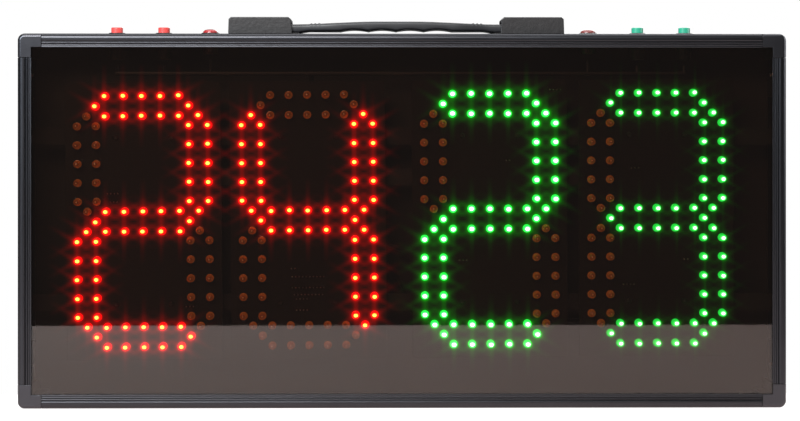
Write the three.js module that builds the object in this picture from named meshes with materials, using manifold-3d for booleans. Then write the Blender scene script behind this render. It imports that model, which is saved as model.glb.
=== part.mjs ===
// Portable LED number board: a shallow aluminium case with two pairs of digits made of single
// LEDs behind a tinted window, six push buttons and a flexible carrying strap on its top rail.
// Millimetres, +Z up. The digits face -Y and the origin is the centre of the base.

import * as THREE from 'three';
import { mergeVertices } from 'three/addons/utils/BufferGeometryUtils.js';
import Module from 'manifold-3d';

// ---- Case ---------------------------------------------------------------------------------
const WIDTH = 550;
const HEIGHT = 268;
const DEPTH = 45;
const GAP = 0.3; // room beside a piece that cuts into, or turns past, its neighbour
const SEAT = 0.05; // room between flat faces that rest on each other
const WALL = 1.5;
const FLANGE = 10; // width of the rail's face around the window
const EDGE_RADIUS = 3;
const SHEET_SLOT = 3.6; // room for the window and the rear cover between flange and rib
const RIB = 1.4;
const RIB_REACH = 6.5;
const LAND = 0.25; // the ribbed inner band of the flange lies this much behind its outer band
const GROOVES = [5.0, 6.8, 8.5]; // grooves in the flange, from the outer edge
const GROOVE_WIDTH = 0.4;
const GROOVE_DEPTH = 0.6;

const CORNER_LEG = 17;
const CORNER_INSET = 0.4;
const CORNER_RADIUS = 5;
const CORNER_BEVEL = 2.6;
const TONGUE_LENGTH = 28;
const TONGUE_THICKNESS = 4.4;

const SHEET = 3; // thickness of the window and the rear cover
const SHEET_MARGIN = 2.3; // from the case's outline to a sheet's edge
const SHEET_CLIP = 3;

// ---- Screws in the rails -------------------------------------------------------------------
const SCREW_FROM_CORNER = 29;
const SCREW_HEAD = 3.1;
const SCREW_SHANK = 1.45;
const SCREW_LENGTH = 8;
const SCREW_SUNK = 0.1; // the head lies this much below the rail's surface
const SCREW_SOCKET = 1.2; // radius and depth of the drive socket
const SCREW_PLAY = 0.25;
const SCREW_SIDES = 8;

// ---- Digits --------------------------------------------------------------------------------
const DIGIT_X = [-186.5, -68, 63, 183.5];
const DIGIT_Z = 134.5;
const DIGIT_LIFT = [-1.1, -0.3, 0.6, 1.2]; // each board's own height against the common one
const BOARD_WIDTH = 112;
const BOARD_HEIGHT = 200;
const BOARD = 1.6; // thickness of every circuit board
const BOARD_FRONT = -7.6;
const LED_RADIUS = 2.7;
const LED_TIP = -16.2;
const SEGMENT_RISE = 83; // from the middle bar to the top or bottom bar
const BAR_PITCH = 13.3; // along a horizontal bar
const BAR_HALF = 7.2; // from a horizontal bar's line to its two rows
const POST_PITCH = 13.6; // along a vertical bar, and between its two columns
const POST_INNER = 33.6; // inner column of a vertical bar, and tip of a horizontal one
const POST_TIP = 34.3;
const LEDS_ALONG = 5;
const LED_SIDES = 6;
const HEADER = { half: 10, rear: -1.7, rise: 4 }; // ribbon socket on a board's back
const DRIVER = { half: 13, rear: -3, from: [-44, -24], height: 7 }; // the two driver chips
const BOARD_RAIL = { front: -3, back: -1, rise: 6, tab: 2 };
const SNAP_X = 20;
const SNAP_Z = 60;
const SNAP_HOLE = 1.8;
const SNAP_PEG = 1.4;
const SNAP_HEAD = 2.2;
const SNAP_POST = 2.5;
const SNAP_TIP = 1.3; // length of a snap head's slope

// ---- Controls on the top rail --------------------------------------------------------------
const RED_X = [-206.6, -172.6];
const GREEN_X = [170.6, 204.7];
const TALL_HOLE = 6.1;
const TALL_CAP = 4.2;
const TALL_TOP = 5.2;
const TALL_DEPTH = 18;
const POWER_X = -139;
const RESET_X = 134.7;
const DOME_HOLE = 6.7;
const DOME_CAP = 5.6;
const DOME_RIM = 1.6;
const DOME_CROWN = 3.9;
const DOME_DEPTH = 14;
const BEZEL_TOP = 1.3;
const BEZEL_LIP = 0.5; // from a housing's barrel to the edge of its bezel
const TERMINAL = 4;
const NUT_RADIUS = 8.6;
const NUT_HEIGHT = 2.5;
const CAP_PLAY = 0.3;
const BUTTON_SIDES = 12;
const POST_SIDES = 6;

// ---- Carrying strap, about its own middle on the top rail -----------------------------------
const HANDLE_X = -4.5;
const HALF_GRIP = 45;
const GRIP_PIVOT_Z = 5.6;
const MOUTH_X = 75;
const END_PIVOT_Z = 4.4;
const CAP_END = 120.9;
const CAP_TOP = 12.3;
const CAP_HALF_DEPTH = 13;
const CAP_WALL = 1.8;
const CAP_BEVEL = 1;
const CAP_MOUTH = 9;
const GRIP_HALF_DEPTH = 12.5;
const GRIP_TOP = 9.6;
const GRIP_CROWN = 0.6;
const GRIP_BASE = 2.3;
const GRIP_SCALLOP = 20; // pitch of the finger scallops
const GRIP_SCALLOP_DEPTH = 1.7;
const LINK_BIG = 3.4;
const LINK_SMALL = 2.75;
const LINK_HALF_DEPTH = 10.8;
const END = { tip: 114, halfDepth: 10, base: 2.4, top: 6.4 };
const END_SLOT = { inner: 5.2, outer: 11.2, half: 5 }; // about the anchor screw
const BASE = { length: 48, halfDepth: 10.5, height: 1 };
const ANCHOR_X = 98;
const ANCHOR_HEAD = 4.2;
const ANCHOR_SHANK = 2.4;
const ANCHOR_HOLE = 2.65;
const RIVET_RADIUS = 4;
const RIVET_DEPTH = 5;

// ---- Inside --------------------------------------------------------------------------------
const CONTROLLER = { x: -66, z: 120, width: 110, height: 70, back: 11.7 };
const MOUNT_INSET = 5; // from the controller's edges to its mounting holes
// Parts on the controller: from and to in X, front in Y, from and to in Z, about its middle.
const CONTROLLER_PARTS = [
  [-12, 12, 6, 15, 24],
  [-8, 8, 4.5, 28, 34],
  [-22, 8, 7.3, -15, -1],
  [42, 52, 5, -10, 0],
  [42, 52, 5, -24, -16],
  [14, 26, 4, -28, -16],
];
const CAPACITORS = { radius: 4, front: 1, x: -38, z: [-20, -6] };
const BATTERY = { x: 66, z: 115, length: 66, cell: 9.1, pitch: 18.9, y: 8.4 };
const CLAMP = { half: 7, sheet: 1.2, foot: 14, stud: 37, studRadius: 1.9 };
const CHARGE = { x: 200, z: 60, hole: 5.6, barrel: 5.3, flange: 7.5, jack: 3, pin: 1, floor: 11, end: 6 };
const CHARGE_NUT = { radius: 8, height: 2.6 };
const LEAD_RADIUS = 1.5;
const LOOM_RADIUS = 1.8;
const TAIL_RADIUS = 1.2;
const RIBBON = { front: -1.4, back: -0.4, rise: 6, half: 10, margin: 12 };
const RIBBON_Z = 165;
const LOOM_Z = 240;

// ---- Materials -----------------------------------------------------------------------------
function finish(color, roughness, metalness = 0) {
  return new THREE.MeshStandardMaterial({ color, roughness, metalness, flatShading: true });
}

const ALUMINIUM = finish(0xb9bcc2, 0.36, 0.9);
const CAST_CORNER = finish(0xaeb1b8, 0.42, 0.7);
const STEEL = finish(0xc6c8cb, 0.3, 1);
const REAR_PLASTIC = finish(0x17181b, 0.5);
const BOARD_GREEN = finish(0x1d2320, 0.6);
const LED_RED = finish(0xe8502a, 0.25);
const LED_GREEN = finish(0x58d88a, 0.25);
const BLACK_PLASTIC = finish(0x141416, 0.62);
const RED_CAP = finish(0xe8504e, 0.35);
const GREEN_CAP = finish(0x3ea67f, 0.35);
const RUST_CAP = finish(0x9c4a44, 0.4);
const CELL_WRAP = finish(0x2b5f9e, 0.4);
const LEAD = finish(0x222222, 0.6);
const WINDOW = new THREE.MeshStandardMaterial({
  color: 0x1c1714,
  roughness: 0.05,
  transparent: true,
  opacity: 0.45,
});

// ---- Solids --------------------------------------------------------------------------------
const wasm = await Module();
wasm.setup();

function toSolid(geometry) {
  const bare = geometry.clone();
  bare.deleteAttribute('normal');
  bare.deleteAttribute('uv');
  const merged = mergeVertices(bare, 1e-4);
  const index = merged.index.array;
  const triangles = [];
  for (let i = 0; i < index.length; i += 3) {
    const [a, b, c] = index.slice(i, i + 3);
    if (a !== b && b !== c && c !== a) {
      triangles.push(a, b, c);
    }
  }
  return new wasm.Manifold(new wasm.Mesh({
    numProp: 3,
    vertProperties: merged.attributes.position.array,
    triVerts: Uint32Array.from(triangles),
  }));
}

function toGeometry(solid) {
  const mesh = solid.getMesh();
  const geometry = new THREE.BufferGeometry();
  geometry.setAttribute('position', new THREE.BufferAttribute(mesh.vertProperties.slice(), 3));
  geometry.setIndex(new THREE.BufferAttribute(mesh.triVerts.slice(), 1));
  geometry.computeVertexNormals();
  return geometry;
}

function join(...pieces) {
  return toGeometry(pieces.map(toSolid).reduce((whole, piece) => whole.add(piece)));
}

function cut(piece, ...tools) {
  return toGeometry(tools.map(toSolid).reduce((rest, tool) => rest.subtract(tool), toSolid(piece)));
}

function common(piece, tool) {
  return toGeometry(toSolid(piece).intersect(toSolid(tool)));
}

function box(x0, x1, y0, y1, z0, z1) {
  const geometry = new THREE.BoxGeometry(x1 - x0, y1 - y0, z1 - z0);
  return geometry.translate((x0 + x1) / 2, (y0 + y1) / 2, (z0 + z1) / 2);
}

// A solid of revolution about Z, from [radius, z] points that run anticlockwise.
function turned(profile, sides) {
  const points = profile.map(([radius, z]) => new THREE.Vector2(radius, z));
  return new THREE.LatheGeometry(points, sides).rotateX(Math.PI / 2);
}

function rod(radius, z0, z1, sides) {
  return turned([[0, z0], [radius, z0], [radius, z1], [0, z1]], sides);
}

// The same rod along +Y at a place in X and Z.
function rodAlongY(radius, y0, y1, sides, x, z) {
  return rod(radius, y0, y1, sides).rotateX(-Math.PI / 2).translate(x, 0, z);
}

function rodAlongX(radius, x0, x1, sides, y, z) {
  return rod(radius, x0, x1, sides).rotateY(Math.PI / 2).translate(0, y, z);
}

function polygon(points) {
  return new THREE.Shape(points.map(([x, y]) => new THREE.Vector2(x, y)));
}

// An outline in X and Z, extruded from y0 to y1.
function plate(outline, y0, y1) {
  const geometry = new THREE.ExtrudeGeometry(outline, { depth: y1 - y0, bevelEnabled: false });
  return geometry.rotateX(Math.PI / 2).translate(0, y1, 0);
}

function arcPoints(centreX, centreY, radius, from, to, steps) {
  const points = [];
  for (let step = 0; step <= steps; step += 1) {
    const angle = from + ((to - from) * step) / steps;
    points.push([centreX + radius * Math.cos(angle), centreY + radius * Math.sin(angle)]);
  }
  return points;
}

function hexagon(centreX, centreY, radius, bore) {
  const outline = polygon(arcPoints(centreX, centreY, radius, 0, (5 * Math.PI) / 3, 5));
  outline.holes.push(polygon(arcPoints(centreX, centreY, bore, 0, (11 * Math.PI) / 6, 11)));
  return outline;
}

function wire(points, radius, steps, sides = 6) {
  const route = new THREE.CatmullRomCurve3(points.map((point) => new THREE.Vector3(...point)));
  const section = polygon(arcPoints(0, 0, radius, 0, 2 * Math.PI * (1 - 1 / sides), sides - 1));
  return new THREE.ExtrudeGeometry(section, { steps, extrudePath: route, bevelEnabled: false });
}

function add(parent, name, geometry, material) {
  const mesh = new THREE.Mesh(geometry, material);
  mesh.name = name;
  parent.add(mesh);
  return mesh;
}

// ---- Countersunk screws --------------------------------------------------------------------
function screwGeometry(play) {
  const head = SCREW_HEAD + play;
  const shank = SCREW_SHANK + play;
  const slope = SCREW_HEAD - SCREW_SHANK;
  const seat = -SCREW_SUNK - slope;
  if (play > 0) {
    const end = -SCREW_LENGTH - 2;
    const hole = [[0, end], [shank, end], [shank, seat], [head, -SCREW_SUNK], [head, 1], [0, 1]];
    return turned(hole, SCREW_SIDES);
  }
  const floor = -SCREW_SUNK - SCREW_SOCKET;
  return turned([
    [0, -SCREW_LENGTH], [shank, -SCREW_LENGTH], [shank, seat], [head, -SCREW_SUNK],
    [SCREW_SOCKET, -SCREW_SUNK], [SCREW_SOCKET, floor], [0, floor],
  ], SCREW_SIDES);
}

// Moves a piece built about +Z so that +Z points out of the case at one place.
function facing(place, outward) {
  const turn = new THREE.Quaternion();
  turn.setFromUnitVectors(new THREE.Vector3(0, 0, 1), new THREE.Vector3(...outward));
  return new THREE.Matrix4().compose(new THREE.Vector3(...place), turn, new THREE.Vector3(1, 1, 1));
}

function screwPlaces() {
  const places = [];
  for (const side of [-1, 1]) {
    const x = side * (WIDTH / 2 - SCREW_FROM_CORNER);
    places.push({ rail: 'bottom', matrix: facing([x, 0, 0], [0, 0, -1]) });
    places.push({ rail: 'top', matrix: facing([x, 0, HEIGHT], [0, 0, 1]) });
    const rail = side < 0 ? 'left' : 'right';
    for (const z of [SCREW_FROM_CORNER, HEIGHT - SCREW_FROM_CORNER]) {
      places.push({ rail, matrix: facing([(side * WIDTH) / 2, 0, z], [side, 0, 0]) });
    }
  }
  return places;
}

const SCREW_PLACES = screwPlaces();

function screwHoles(rail) {
  const wanted = SCREW_PLACES.filter((place) => place.rail === rail);
  return wanted.map((place) => screwGeometry(SCREW_PLAY).applyMatrix4(place.matrix));
}

// ---- Rails ---------------------------------------------------------------------------------
// The section lies in (inward from the outer face, back from the front face).
function railSection() {
  const front = arcPoints(EDGE_RADIUS, EDGE_RADIUS, EDGE_RADIUS, Math.PI, 1.5 * Math.PI, 3);
  let level = 0;
  for (const groove of GROOVES) {
    front.push([groove - GROOVE_WIDTH / 2, level]);
    front.push([groove - GROOVE_WIDTH / 2, GROOVE_DEPTH]);
    front.push([groove + GROOVE_WIDTH / 2, GROOVE_DEPTH]);
    front.push([groove + GROOVE_WIDTH / 2, LAND]);
    level = LAND;
  }
  const rib = WALL + SHEET_SLOT;
  front.push([FLANGE - LAND, LAND], [FLANGE, 2 * LAND], [FLANGE, WALL], [WALL, WALL]);
  front.push([WALL, rib], [RIB_REACH, rib], [RIB_REACH, rib + RIB], [WALL, rib + RIB]);
  const rear = front.map(([inward, back]) => [inward, DEPTH - back]).reverse();
  return polygon([...front, ...rear]);
}

function rail(length, inward, along, start) {
  const geometry = new THREE.ExtrudeGeometry(railSection(), { depth: length, bevelEnabled: false });
  const towardsRear = new THREE.Vector3(0, 1, 0);
  const frame = new THREE.Matrix4();
  frame.makeBasis(new THREE.Vector3(...inward), towardsRear, new THREE.Vector3(...along));
  frame.setPosition(...start);
  return geometry.applyMatrix4(frame);
}

function addRails(parent) {
  const longRail = WIDTH - 2 * (CORNER_LEG + GAP);
  const shortRail = HEIGHT - 2 * (CORNER_LEG + GAP);
  const front = -DEPTH / 2;
  const foot = CORNER_LEG + GAP;

  const bottom = rail(longRail, [0, 0, 1], [-1, 0, 0], [longRail / 2, front, 0]);
  add(parent, 'frame_bottom', cut(bottom, ...screwHoles('bottom')), ALUMINIUM);

  const left = rail(shortRail, [1, 0, 0], [0, 0, 1], [-WIDTH / 2, front, foot]);
  add(parent, 'frame_left', cut(left, ...screwHoles('left')), ALUMINIUM);

  const right = rail(shortRail, [-1, 0, 0], [0, 0, -1], [WIDTH / 2, front, HEIGHT - foot]);
  add(parent, 'frame_right', cut(right, ...screwHoles('right')), ALUMINIUM);

  const top = rail(longRail, [0, 0, -1], [1, 0, 0], [-longRail / 2, front, HEIGHT]);
  const holes = screwHoles('top');
  for (const x of [...RED_X, ...GREEN_X]) {
    holes.push(rod(TALL_HOLE, -3, 1, BUTTON_SIDES).translate(x, 0, HEIGHT));
  }
  for (const x of [POWER_X, RESET_X]) {
    holes.push(rod(DOME_HOLE, -3, 1, BUTTON_SIDES).translate(x, 0, HEIGHT));
  }
  const rivetNuts = [-1, 1].map((side) => {
    const collar = rod(RIVET_RADIUS, -RIVET_DEPTH, -WALL + 0.5, BUTTON_SIDES);
    return collar.translate(HANDLE_X + side * ANCHOR_X, 0, HEIGHT);
  });
  const anchorHoles = [-1, 1].map((side) => {
    const hole = rod(ANCHOR_HOLE, -RIVET_DEPTH - 1, 1, BUTTON_SIDES);
    return hole.translate(HANDLE_X + side * ANCHOR_X, 0, HEIGHT);
  });
  const drilled = cut(join(top, ...rivetNuts), ...holes, ...anchorHoles);
  add(parent, 'frame_top', drilled, ALUMINIUM);
}

// ---- Window, rear cover and corners ---------------------------------------------------------
function sheetOutline(grow) {
  const x = WIDTH / 2 - SHEET_MARGIN + grow;
  const low = SHEET_MARGIN - grow;
  const high = HEIGHT - low;
  const clip = SHEET_CLIP;
  return polygon([
    [-x + clip, low], [x - clip, low], [x, low + clip], [x, high - clip],
    [x - clip, high], [-x + clip, high], [-x, high - clip], [-x, low + clip],
  ]);
}

const SHEET_OUTER = DEPTH / 2 - WALL - (SHEET_SLOT - SHEET) / 2;
const SHEET_INNER = SHEET_OUTER - SHEET;

// The bottom left corner piece. The other three are its mirror images.
function cornerGeometry() {
  const left = -WIDTH / 2;
  const reach = 3 * CORNER_LEG;
  const half = DEPTH / 2 - CORNER_INSET;
  const rounded = arcPoints(
    left + CORNER_RADIUS, CORNER_RADIUS, CORNER_RADIUS, Math.PI, 1.5 * Math.PI, 4,
  );
  const outline = polygon([...rounded, [left + reach, 0], [left + reach, reach], [left, reach]]);
  const slab = new THREE.ExtrudeGeometry(outline, {
    depth: 2 * (half - CORNER_BEVEL),
    bevelThickness: CORNER_BEVEL,
    bevelSize: CORNER_BEVEL,
    bevelOffset: -CORNER_BEVEL,
    bevelSegments: 3,
  });
  slab.rotateX(Math.PI / 2).translate(0, half - CORNER_BEVEL, 0);

  const arm = FLANGE - GAP;
  const elbow = polygon([
    [left - 1, -1], [left + CORNER_LEG, -1], [left + CORNER_LEG, arm],
    [left + arm, arm], [left + arm, CORNER_LEG], [left - 1, CORNER_LEG],
  ]);
  const block = common(slab, plate(elbow, -half - 1, half + 1));
  const slots = [-1, 1].map((side) => {
    const near = side * (SHEET_INNER - GAP);
    const far = side * (SHEET_OUTER + GAP);
    return plate(sheetOutline(GAP), Math.min(near, far), Math.max(near, far));
  });

  const inner = WALL + GAP;
  const outer = inner + TONGUE_THICKNESS;
  const root = CORNER_LEG - 1;
  const tip = CORNER_LEG + TONGUE_LENGTH;
  const wide = DEPTH / 2 - WALL - SHEET_SLOT - RIB - GAP;
  const lowTongue = box(left + root, left + tip, -wide, wide, inner, outer);
  const sideTongue = box(left + inner, left + outer, -wide, wide, root, tip);

  const holes = [
    screwGeometry(SCREW_PLAY).applyMatrix4(facing([left + SCREW_FROM_CORNER, 0, 0], [0, 0, -1])),
    screwGeometry(SCREW_PLAY).applyMatrix4(facing([left, 0, SCREW_FROM_CORNER], [-1, 0, 0])),
  ];
  return cut(join(cut(block, ...slots), lowTongue, sideTongue), ...holes);
}

function addCorners(parent) {
  const geometry = cornerGeometry();
  for (const [rise, level] of [['bottom', 0], ['top', HEIGHT]]) {
    for (const [side, mirror] of [['left', 1], ['right', -1]]) {
      const corner = add(parent, `corner_${rise}_${side}`, geometry, CAST_CORNER);
      corner.scale.set(mirror, 1, level === 0 ? 1 : -1);
      corner.position.z = level;
    }
  }
  SCREW_PLACES.forEach((place, index) => {
    const screw = add(parent, `corner_screw_${index + 1}`, screwGeometry(0), STEEL);
    screw.applyMatrix4(place.matrix);
  });
}

function snapPost(x, z, shoulder, board, tip, root) {
  const towards = Math.sign(tip - root);
  const profile = [
    [0, 0], [SNAP_POST, 0], [SNAP_POST, Math.abs(shoulder - root)], [SNAP_PEG, Math.abs(shoulder - root)],
    [SNAP_PEG, Math.abs(board - root)], [SNAP_HEAD, Math.abs(board - root)],
    [SNAP_PEG, Math.abs(tip - root)], [0, Math.abs(tip - root)],
  ];
  const post = turned(profile, POST_SIDES).rotateX((-towards * Math.PI) / 2);
  return post.translate(x, root, z);
}

function addSheets(parent) {
  add(parent, 'front_window', plate(sheetOutline(0), -SHEET_OUTER, -SHEET_INNER), WINDOW);

  const panel = plate(sheetOutline(0), SHEET_INNER, SHEET_OUTER);
  const seat = CONTROLLER.back + SEAT;
  const face = CONTROLLER.back - BOARD - 0.2;
  const posts = [];
  for (const x of [-1, 1]) {
    for (const z of [-1, 1]) {
      const postX = CONTROLLER.x + x * (CONTROLLER.width / 2 - MOUNT_INSET);
      const postZ = CONTROLLER.z + z * (CONTROLLER.height / 2 - MOUNT_INSET);
      posts.push(snapPost(postX, postZ, seat, face, face - SNAP_TIP, SHEET_INNER + 0.5));
    }
    const studZ = BATTERY.z + x * CLAMP.stud;
    const tip = SHEET_INNER - CLAMP.sheet - 1;
    posts.push(rodAlongY(CLAMP.studRadius, tip, SHEET_INNER + 0.5, 8, BATTERY.x, studZ));
  }
  const chargeHole = rodAlongY(CHARGE.hole, SHEET_INNER - 1, SHEET_OUTER + 1, 16, CHARGE.x, CHARGE.z);
  add(parent, 'rear_cover', cut(join(panel, ...posts), chargeHole), REAR_PLASTIC);
}

// ---- Digit boards --------------------------------------------------------------------------
// Seven bars of twelve LEDs: two rows of five, with one LED at each pointed end.
function ledPlaces() {
  const places = [];
  const steps = Array.from({ length: LEDS_ALONG }, (_, index) => index - (LEDS_ALONG - 1) / 2);
  for (const level of [-SEGMENT_RISE, 0, SEGMENT_RISE]) {
    for (const step of steps) {
      places.push([step * BAR_PITCH, level - BAR_HALF], [step * BAR_PITCH, level + BAR_HALF]);
    }
    places.push([-POST_INNER, level], [POST_INNER, level]);
  }
  for (const side of [-1, 1]) {
    for (const level of [-SEGMENT_RISE / 2, SEGMENT_RISE / 2]) {
      for (const step of steps) {
        places.push([side * POST_INNER, level + step * POST_PITCH]);
        places.push([side * (POST_INNER + POST_PITCH), level + step * POST_PITCH]);
      }
      const middle = side * (POST_INNER + POST_PITCH / 2);
      places.push([middle, level - POST_TIP], [middle, level + POST_TIP]);
    }
  }
  return places;
}

function digitGeometry() {
  const back = BOARD_FRONT + BOARD;
  const half = BOARD_WIDTH / 2;
  const rise = BOARD_HEIGHT / 2;
  const board = box(-half, half, BOARD_FRONT, back, -rise, rise);
  const leds = ledPlaces().map(([x, z]) => {
    return rodAlongY(LED_RADIUS, LED_TIP, BOARD_FRONT + 0.5, LED_SIDES, x, z);
  });
  const inner = back - 0.5;
  const header = RIBBON_Z - DIGIT_Z;
  const fitted = DRIVER.from.map((z) => {
    return box(-DRIVER.half, DRIVER.half, inner, DRIVER.rear, z, z + DRIVER.height);
  });
  fitted.push(box(
    -HEADER.half, HEADER.half, inner, HEADER.rear, header - HEADER.rise, header + HEADER.rise,
  ));
  const holes = [];
  for (const x of [-SNAP_X, SNAP_X]) {
    for (const z of [-SNAP_Z, SNAP_Z]) {
      holes.push(rodAlongY(SNAP_HOLE, BOARD_FRONT - 1, back + 1, POST_SIDES, x, z));
    }
  }
  return cut(join(board, ...leds, ...fitted), ...holes);
}

function addDigits(parent) {
  const geometry = digitGeometry();
  DIGIT_X.forEach((x, index) => {
    const board = add(parent, `digit_board_${index + 1}`, geometry, x < 0 ? LED_RED : LED_GREEN);
    board.position.set(x, 0, DIGIT_Z + DIGIT_LIFT[index]);
  });

  // Two flat rails carry the boards. Their end tabs are held in the channels of the side rails.
  const end = WIDTH / 2 - WALL - GAP;
  const wide = DEPTH / 2 - WALL - SHEET_SLOT - RIB - GAP;
  const back = BOARD_FRONT + BOARD;
  const rails = [['board_rail_lower', -SNAP_Z], ['board_rail_upper', SNAP_Z]];
  for (const [name, rise] of rails) {
    const z = DIGIT_Z + rise;
    const low = z - BOARD_RAIL.rise;
    const high = z + BOARD_RAIL.rise;
    const pieces = [box(-end, end, BOARD_RAIL.front, BOARD_RAIL.back, low, high)];
    for (const side of [-1, 1]) {
      const near = Math.min(side * (end - BOARD_RAIL.tab), side * end);
      pieces.push(box(near, near + BOARD_RAIL.tab, -wide, wide, low, high));
    }
    const root = BOARD_RAIL.front + 0.5;
    const head = BOARD_FRONT - GAP;
    DIGIT_X.forEach((x, index) => {
      for (const side of [-SNAP_X, SNAP_X]) {
        const level = z + DIGIT_LIFT[index];
        pieces.push(snapPost(x + side, level, back + 0.1, head, head - SNAP_TIP, root));
      }
    });
    add(parent, name, join(...pieces), ALUMINIUM);
  }
}

// ---- Electronics and wiring ----------------------------------------------------------------
function addController(parent) {
  const { x, z, width, height, back } = CONTROLLER;
  const front = back - BOARD;
  const right = x + width / 2;
  const board = box(x - width / 2, right, front, back, z - height / 2, z + height / 2);
  const inner = front + 0.5;
  const parts = CONTROLLER_PARTS.map(([x0, x1, y0, z0, z1]) => {
    return box(x + x0, x + x1, y0, inner, z + z0, z + z1);
  });
  for (const level of CAPACITORS.z) {
    const { radius } = CAPACITORS;
    parts.push(rodAlongY(radius, CAPACITORS.front, inner, 10, x + CAPACITORS.x, z + level));
  }
  const holes = [];
  for (const sideX of [-1, 1]) {
    for (const sideZ of [-1, 1]) {
      const holeX = x + sideX * (width / 2 - MOUNT_INSET);
      const holeZ = z + sideZ * (height / 2 - MOUNT_INSET);
      holes.push(rodAlongY(SNAP_HOLE, front - 1, back + 1, POST_SIDES, holeX, holeZ));
    }
  }
  add(parent, 'controller_board', cut(join(board, ...parts), ...holes), BOARD_GREEN);
}

function addBattery(parent) {
  const { x, z, length, cell, pitch, y } = BATTERY;
  const from = x - length / 2;
  const to = x + length / 2;
  const cells = [-1, 0, 1].map((row) => rodAlongX(cell, from, to, 12, y, z + row * pitch));
  const wraps = box(from, to, y - cell / 2, y + cell / 2, z - pitch, z + pitch);
  add(parent, 'battery_pack', join(...cells, wraps), CELL_WRAP);

  const low = x - CLAMP.half;
  const high = x + CLAMP.half;
  const thick = CLAMP.sheet;
  const top = pitch + cell + 2 * GAP;
  const strapY = y - cell - 0.5;
  const footBack = SHEET_INNER - GAP;
  const strap = [box(low, high, strapY - thick, strapY, z - top - thick, z + top + thick)];
  for (const side of [-1, 1]) {
    const legZ = z + side * (top + thick / 2);
    strap.push(box(low, high, strapY - thick, footBack, legZ - thick / 2, legZ + thick / 2));
    const footZ = z + side * (top + CLAMP.foot / 2);
    const foot = box(
      low, high, footBack - thick, footBack, footZ - CLAMP.foot / 2, footZ + CLAMP.foot / 2,
    );
    const play = CLAMP.studRadius + GAP;
    const hole = rodAlongY(play, SHEET_INNER - 4, SHEET_INNER + 1, 8, x, z + side * CLAMP.stud);
    strap.push(cut(foot, hole));
  }
  add(parent, 'battery_clamp', join(...strap), STEEL);
}

function addChargeSocket(parent) {
  const { x, z, barrel, flange, jack, pin, floor, end } = CHARGE;
  const seat = SHEET_OUTER + SEAT;
  const face = DEPTH / 2 - 0.2;
  const tip = face - 1.5;
  const profile = [
    [0, end], [barrel, end], [barrel, seat], [flange, seat], [flange, face - 0.4],
    [flange - 0.5, face], [jack, face], [jack, floor], [pin, floor], [pin, tip], [0, tip],
  ];
  const socket = turned(profile, 12).rotateX(-Math.PI / 2).translate(x, 0, z);
  add(parent, 'charge_socket', socket, BLACK_PLASTIC);

  const nut = hexagon(x, z, CHARGE_NUT.radius, CHARGE.hole);
  const front = SHEET_INNER - CHARGE_NUT.height;
  add(parent, 'charge_socket_nut', plate(nut, front, SHEET_INNER - SEAT), STEEL);
}

function addWiring(parent) {
  const { x, z, width } = CONTROLLER;
  const edge = x + width / 2 - 3 + GAP;
  const { front, back, half, rise, margin } = RIBBON;
  const from = DIGIT_X[0] - margin;
  const to = DIGIT_X[3] + margin;
  const foot = z + 19;
  const socketFront = CONTROLLER_PARTS[0][2];
  const ribbon = join(
    box(from, to, front, back, RIBBON_Z - rise, RIBBON_Z + rise),
    box(x - half, x + half, front, back, foot, RIBBON_Z - rise + 1),
    box(x - half, x + half, front, socketFront - GAP, foot, foot + 1),
  );
  add(parent, 'display_ribbon', ribbon, LEAD);

  const batteryEnd = BATTERY.x - BATTERY.length / 2 - GAP;
  const batteryRoute = [
    [edge, 7.5, BATTERY.z], [edge + 8, 7.5, BATTERY.z - 1], [edge + 20, 7, BATTERY.z - 5],
    [batteryEnd - 10, 8, BATTERY.z - 2], [batteryEnd, 8, BATTERY.z],
  ];
  add(parent, 'battery_lead', wire(batteryRoute, LEAD_RADIUS, 16), LEAD);

  const socketSide = CHARGE.x - CHARGE.barrel - GAP;
  const chargeRoute = [
    [edge, 7.5, z - 20], [edge + 5, 7.5, z - 21], [edge + 12, 8, z - 33], [edge + 20, 9, z - 52],
    [edge + 36, 10, CHARGE.z], [100, 10, CHARGE.z], [socketSide - 20, 10, CHARGE.z],
    [socketSide, 10, CHARGE.z],
  ];
  add(parent, 'charge_lead', wire(chargeRoute, LEAD_RADIUS, 28), LEAD);

  const pieces = [rodAlongX(LEAD_RADIUS, RED_X[0] - 1, GREEN_X[1] + 1, 8, 0, LOOM_Z)];
  const tails = [...RED_X, ...GREEN_X].map((tailX) => [tailX, TALL_DEPTH]);
  tails.push([POWER_X, DOME_DEPTH], [RESET_X, DOME_DEPTH]);
  for (const [tailX, depth] of tails) {
    const end = HEIGHT - depth - TERMINAL - GAP;
    pieces.push(rod(TAIL_RADIUS, LOOM_Z, end, 6).translate(tailX, 0, 0));
  }
  const drop = [
    [x, 0, LOOM_Z], [x, 4, LOOM_Z - 4], [x, 6, LOOM_Z - 14], [x, 7, LOOM_Z - 40],
    [x, 7, z + 50], [x, 7, z + 34 + GAP],
  ];
  pieces.push(wire(drop, LOOM_RADIUS, 16));
  add(parent, 'button_loom', join(...pieces), LEAD);
}

// ---- Buttons, each about its own hole in the top rail ---------------------------------------
function terminals(depth) {
  return [-3.2, 2.2].map((x) => box(x, x + 1, -1.5, 1.5, -depth - TERMINAL, 0.5 - depth));
}

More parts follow.
